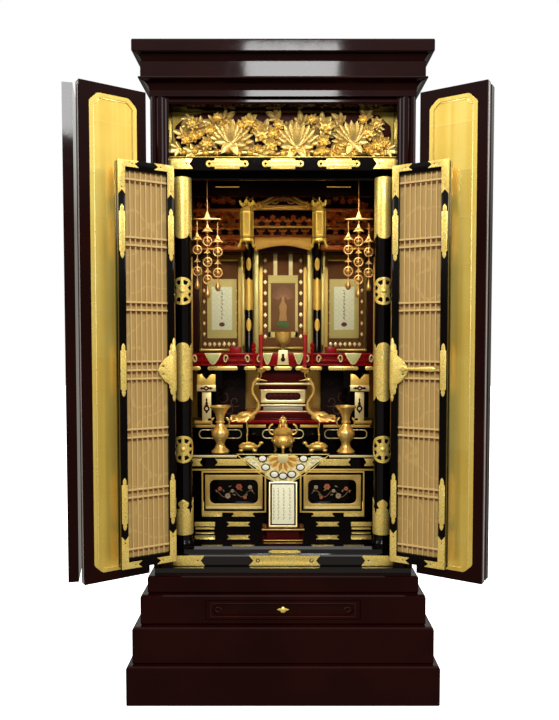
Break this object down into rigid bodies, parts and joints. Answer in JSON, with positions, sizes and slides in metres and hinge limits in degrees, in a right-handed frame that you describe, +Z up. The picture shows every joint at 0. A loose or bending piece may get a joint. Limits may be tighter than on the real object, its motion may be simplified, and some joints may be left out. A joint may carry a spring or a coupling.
{
  "type": "household altar cabinet",
  "caption": "Lacquered household altar cabinet on a stepped base, with folding outer and inner doors and a gilded shrine, scrolls and altar implements inside.",
  "frame": {"origin": "centre of the base's underside", "axes": "+Z up, the open front faces -Y, +X to the right seen from the front"},
  "size_m": [1.0368, 0.616, 1.585],
  "materials": {
    "maroon_lacquer": "very dark maroon-brown lacquer polished to a mirror gloss",
    "black_lacquer": "glossy black lacquer",
    "gold_leaf": "pale gold leaf on lacquered wood, satin",
    "gilded_carving": "carved wood, gilded, with brown recesses",
    "brass": "bright polished brass with chased ornament",
    "red_lacquer": "vermilion red lacquer, semi-gloss",
    "door_gauze": "tan silk gauze behind fine wooden lattice",
    "scroll_silk": "gold and brown silk brocade mounting",
    "brocade": "gold brocade with a woven medallion",
    "paper": "cream paper in a dark lacquered frame",
    "red_wax": "red wax, satin"
  },
  "bodies": {
    "cabinet": {"base_step_1": "maroon_lacquer", "base_step_2": "maroon_lacquer", "base_step_3": "maroon_lacquer", "base_step_4": "maroon_lacquer", "case_floor": "black_lacquer", "left_post": "maroon_lacquer", "right_post": "maroon_lacquer", "left_side": "maroon_lacquer", "right_side": "maroon_lacquer", "back_board": "black_lacquer", "crown": "maroon_lacquer", "lintel": "black_lacquer", "transom_carving": "gilded_carving", "left_column": "black_lacquer", "right_column": "black_lacquer", "lower_cupboard": "black_lacquer", "altar_shelf": "black_lacquer", "middle_shelf": "black_lacquer", "upper_shelf": "black_lacquer", "dais": "red_lacquer", "red_railing": "red_lacquer", "shrine": "gilded_carving", "ceiling_beams": "black_lacquer", "centre_scroll": "scroll_silk", "left_scroll": "scroll_silk", "right_scroll": "scroll_silk", "left_lantern": "brass", "right_lantern": "brass", "left_pendant": "brass", "right_pendant": "brass", "left_flower_vase": "brass", "right_flower_vase": "brass", "left_crane_candlestick": "brass", "right_crane_candlestick": "brass", "left_candle": "red_wax", "right_candle": "red_wax", "censer": "brass", "censer_lid": "brass", "offering_cup": "brass", "book_stand": "red_lacquer", "memorial_book": "paper", "altar_cloth": "brocade"},
    "drawer": {"drawer": "maroon_lacquer", "drawer_knob": "brass"},
    "left_outer_door": {"left_outer_leaf": "maroon_lacquer", "left_outer_gold_panel": "gold_leaf"},
    "left_outer_fold": {"left_outer_fold_leaf": "maroon_lacquer", "left_fold_gold_panel": "gold_leaf"},
    "left_inner_door": {"left_inner_frame": "black_lacquer", "left_inner_screen": "door_gauze"},
    "left_inner_fold": {"left_inner_fold_frame": "black_lacquer", "left_inner_fold_screen": "door_gauze"},
    "right_outer_door": {"right_outer_leaf": "maroon_lacquer", "right_outer_gold_panel": "gold_leaf"},
    "right_outer_fold": {"right_outer_fold_leaf": "maroon_lacquer", "right_fold_gold_panel": "gold_leaf"},
    "right_inner_door": {"right_inner_frame": "black_lacquer", "right_inner_screen": "door_gauze"},
    "right_inner_fold": {"right_inner_fold_frame": "black_lacquer", "right_inner_fold_screen": "door_gauze"}
  },
  "joints": [
    {"name": "drawer_slide", "type": "slide", "parent": "cabinet", "child": "drawer", "axis": [0, -1, 0], "range_m": [0, 0.23]},
    {"name": "left_outer_swing", "type": "hinge", "parent": "cabinet", "child": "left_outer_door", "pos_m": [-0.327, -0.2355, 0.889], "axis": [0, 0, 1], "range_deg": [0, 147]},
    {"name": "left_outer_folding", "type": "hinge", "parent": "left_outer_door", "child": "left_outer_fold", "pos_m": [-0.47839, -0.29983, 0.889], "axis": [0, 0, 1], "range_deg": [-70, 110]},
    {"name": "left_inner_swing", "type": "hinge", "parent": "cabinet", "child": "left_inner_door", "pos_m": [-0.274, -0.231, 0.818], "axis": [0, 0, 1], "range_deg": [-0.5, 150.5]},
    {"name": "left_inner_folding", "type": "hinge", "parent": "left_inner_door", "child": "left_inner_fold", "pos_m": [-0.38278, -0.31459, 0.818], "axis": [0, 0, 1], "range_deg": [-180.5, 0.5]},
    {"name": "right_outer_swing", "type": "hinge", "parent": "cabinet", "child": "right_outer_door", "pos_m": [0.327, -0.2355, 0.889], "axis": [0, 0, 1], "range_deg": [-149, 0]},
    {"name": "right_outer_folding", "type": "hinge", "parent": "right_outer_door", "child": "right_outer_fold", "pos_m": [0.48054, -0.29451, 0.889], "axis": [0, 0, 1], "range_deg": [-180, 0]},
    {"name": "right_inner_swing", "type": "hinge", "parent": "cabinet", "child": "right_inner_door", "pos_m": [0.274, -0.231, 0.818], "axis": [0, 0, 1], "range_deg": [-151.5, 0.5]},
    {"name": "right_inner_folding", "type": "hinge", "parent": "right_inner_door", "child": "right_inner_fold", "pos_m": [0.38422, -0.31268, 0.818], "axis": [0, 0, 1], "range_deg": [-0.5, 180.5]}
  ],
  "couplings": [
    {"joint": "left_inner_swing", "follows": "left_outer_swing", "ratio": 1.0204},
    {"joint": "left_inner_folding", "follows": "left_outer_swing", "ratio": -1.2245},
    {"joint": "right_inner_swing", "follows": "right_outer_swing", "ratio": 1.0134},
    {"joint": "right_inner_folding", "follows": "right_outer_swing", "ratio": -1.2081}
  ]
}
